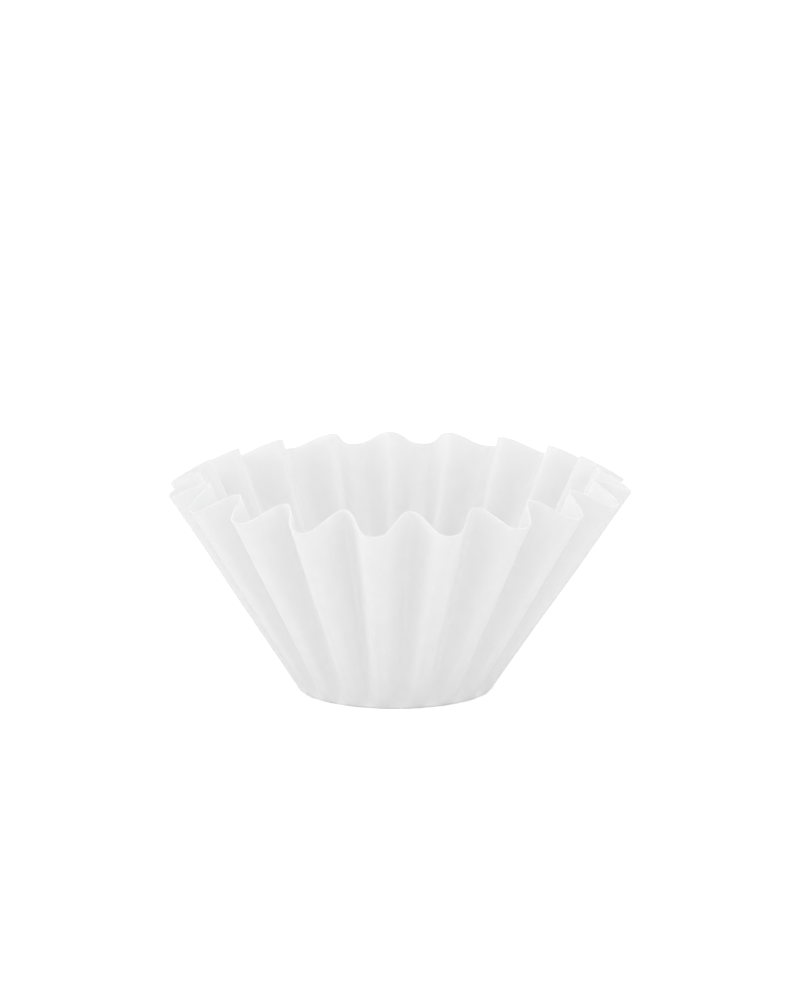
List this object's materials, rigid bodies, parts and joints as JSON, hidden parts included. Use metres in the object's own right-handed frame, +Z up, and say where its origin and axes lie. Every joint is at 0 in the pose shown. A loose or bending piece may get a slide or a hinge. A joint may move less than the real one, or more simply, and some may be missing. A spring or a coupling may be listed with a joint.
{
  "type": "paper coffee filter",
  "caption": "Open cup of white filter paper with a flat round base and a deeply fluted wall that flares to a wavy rim.",
  "frame": {"origin": "centre of the underside of the flat base", "axes": "+Z up the axis of the cup, towards its open mouth; -Y towards the viewer of the picture"},
  "size_m": [0.1254, 0.1254, 0.06],
  "materials": {
    "filter_paper": "matte bleached creped filter paper"
  },
  "bodies": {
    "root": {"coffee_filter": "filter_paper"}
  },
  "joints": []
}
